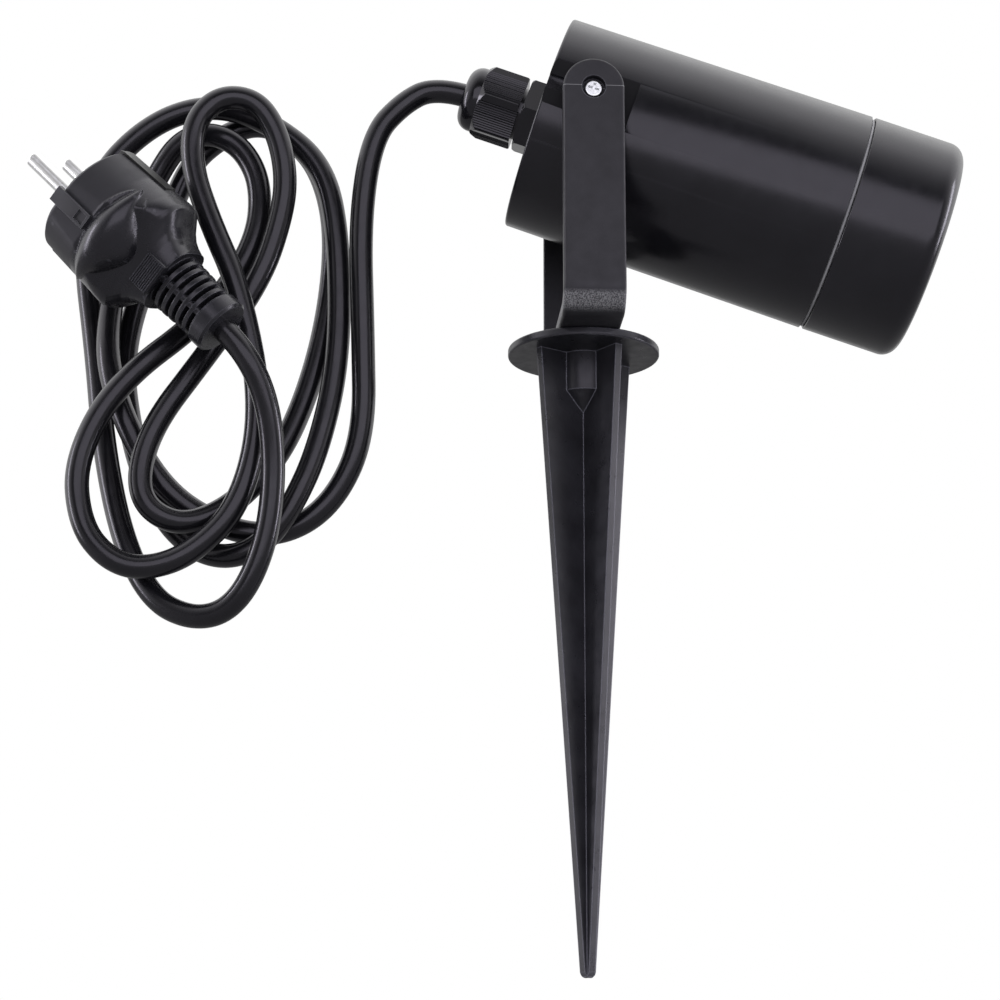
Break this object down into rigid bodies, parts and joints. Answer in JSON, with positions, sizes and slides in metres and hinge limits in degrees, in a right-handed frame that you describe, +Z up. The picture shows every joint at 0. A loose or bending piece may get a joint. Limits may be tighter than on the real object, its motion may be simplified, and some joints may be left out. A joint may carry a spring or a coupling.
{
  "type": "garden spike spotlight",
  "caption": "Round spotlight head tilting in a yoke on a cross-ribbed ground spike, with a looped mains cord and moulded plug.",
  "frame": {"origin": "centre of the round flange's underside, where the light meets the ground", "axes": "+Z up along the spike, the head tilts about +Y and at rest points along +X and 18.5 degrees down"},
  "size_m": [0.2805, 0.076, 0.2893],
  "materials": {
    "spike_plastic": "satin",
    "yoke_plastic": "matte",
    "head_plastic": "satin",
    "gland_plastic": "gloss",
    "washer_plastic": "matte",
    "holder_ceramic": "satin",
    "seal_rubber": "matte",
    "cord_rubber": "satin",
    "plug_rubber": "satin",
    "plug_hard_plastic": "satin",
    "wire_brown": "satin",
    "wire_blue": "satin",
    "wire_green": "satin",
    "pin_metal": "satin",
    "plated_steel": "satin",
    "brass": "satin",
    "front_glass": "clear",
    "bulb_glass": "clear",
    "bulb_mirror": "polished"
  },
  "bodies": {
    "spike": {"ground_spike": "spike_plastic", "pan_insert": "brass", "pan_screw": "plated_steel", "pan_washer": "plated_steel"},
    "yoke": {"yoke": "yoke_plastic", "tilt_washers": "washer_plastic", "cord_lead": "cord_rubber", "cord_loops": "cord_rubber", "plug_strain_relief": "plug_rubber", "plug_body": "plug_rubber", "plug_bridge": "plug_hard_plastic", "plug_pins": "pin_metal", "plug_earth_clips": "pin_metal"},
    "head": {"lamp_housing": "head_plastic", "ring_seal": "seal_rubber", "front_ring": "head_plastic", "glass_gasket": "seal_rubber", "front_glass": "front_glass", "glass_spacer": "head_plastic", "bulb_reflector": "bulb_mirror", "bulb_face": "bulb_glass", "bulb_pins": "pin_metal", "lamp_holder": "holder_ceramic", "holder_bracket": "plated_steel", "bracket_screws": "plated_steel", "terminal_block": "holder_ceramic", "wire_live": "wire_brown", "wire_neutral": "wire_blue", "wire_earth": "wire_green", "tilt_screws": "plated_steel", "tilt_inserts": "brass", "gland_body": "gland_plastic", "gland_nut": "gland_plastic", "gland_grommet": "seal_rubber", "gland_locknut": "gland_plastic", "cord_inner": "cord_rubber", "cord_stub": "cord_rubber"}
  },
  "joints": [
    {"name": "yoke_pan", "type": "hinge", "parent": "spike", "child": "yoke", "pos_m": [0, 0, 0.0024], "axis": [0, 0, 1], "continuous": true},
    {"name": "head_tilt", "type": "hinge", "parent": "yoke", "child": "head", "pos_m": [0, 0, 0.0709], "axis": [0, 1, 0], "range_deg": [-108.5, 24.5]}
  ]
}
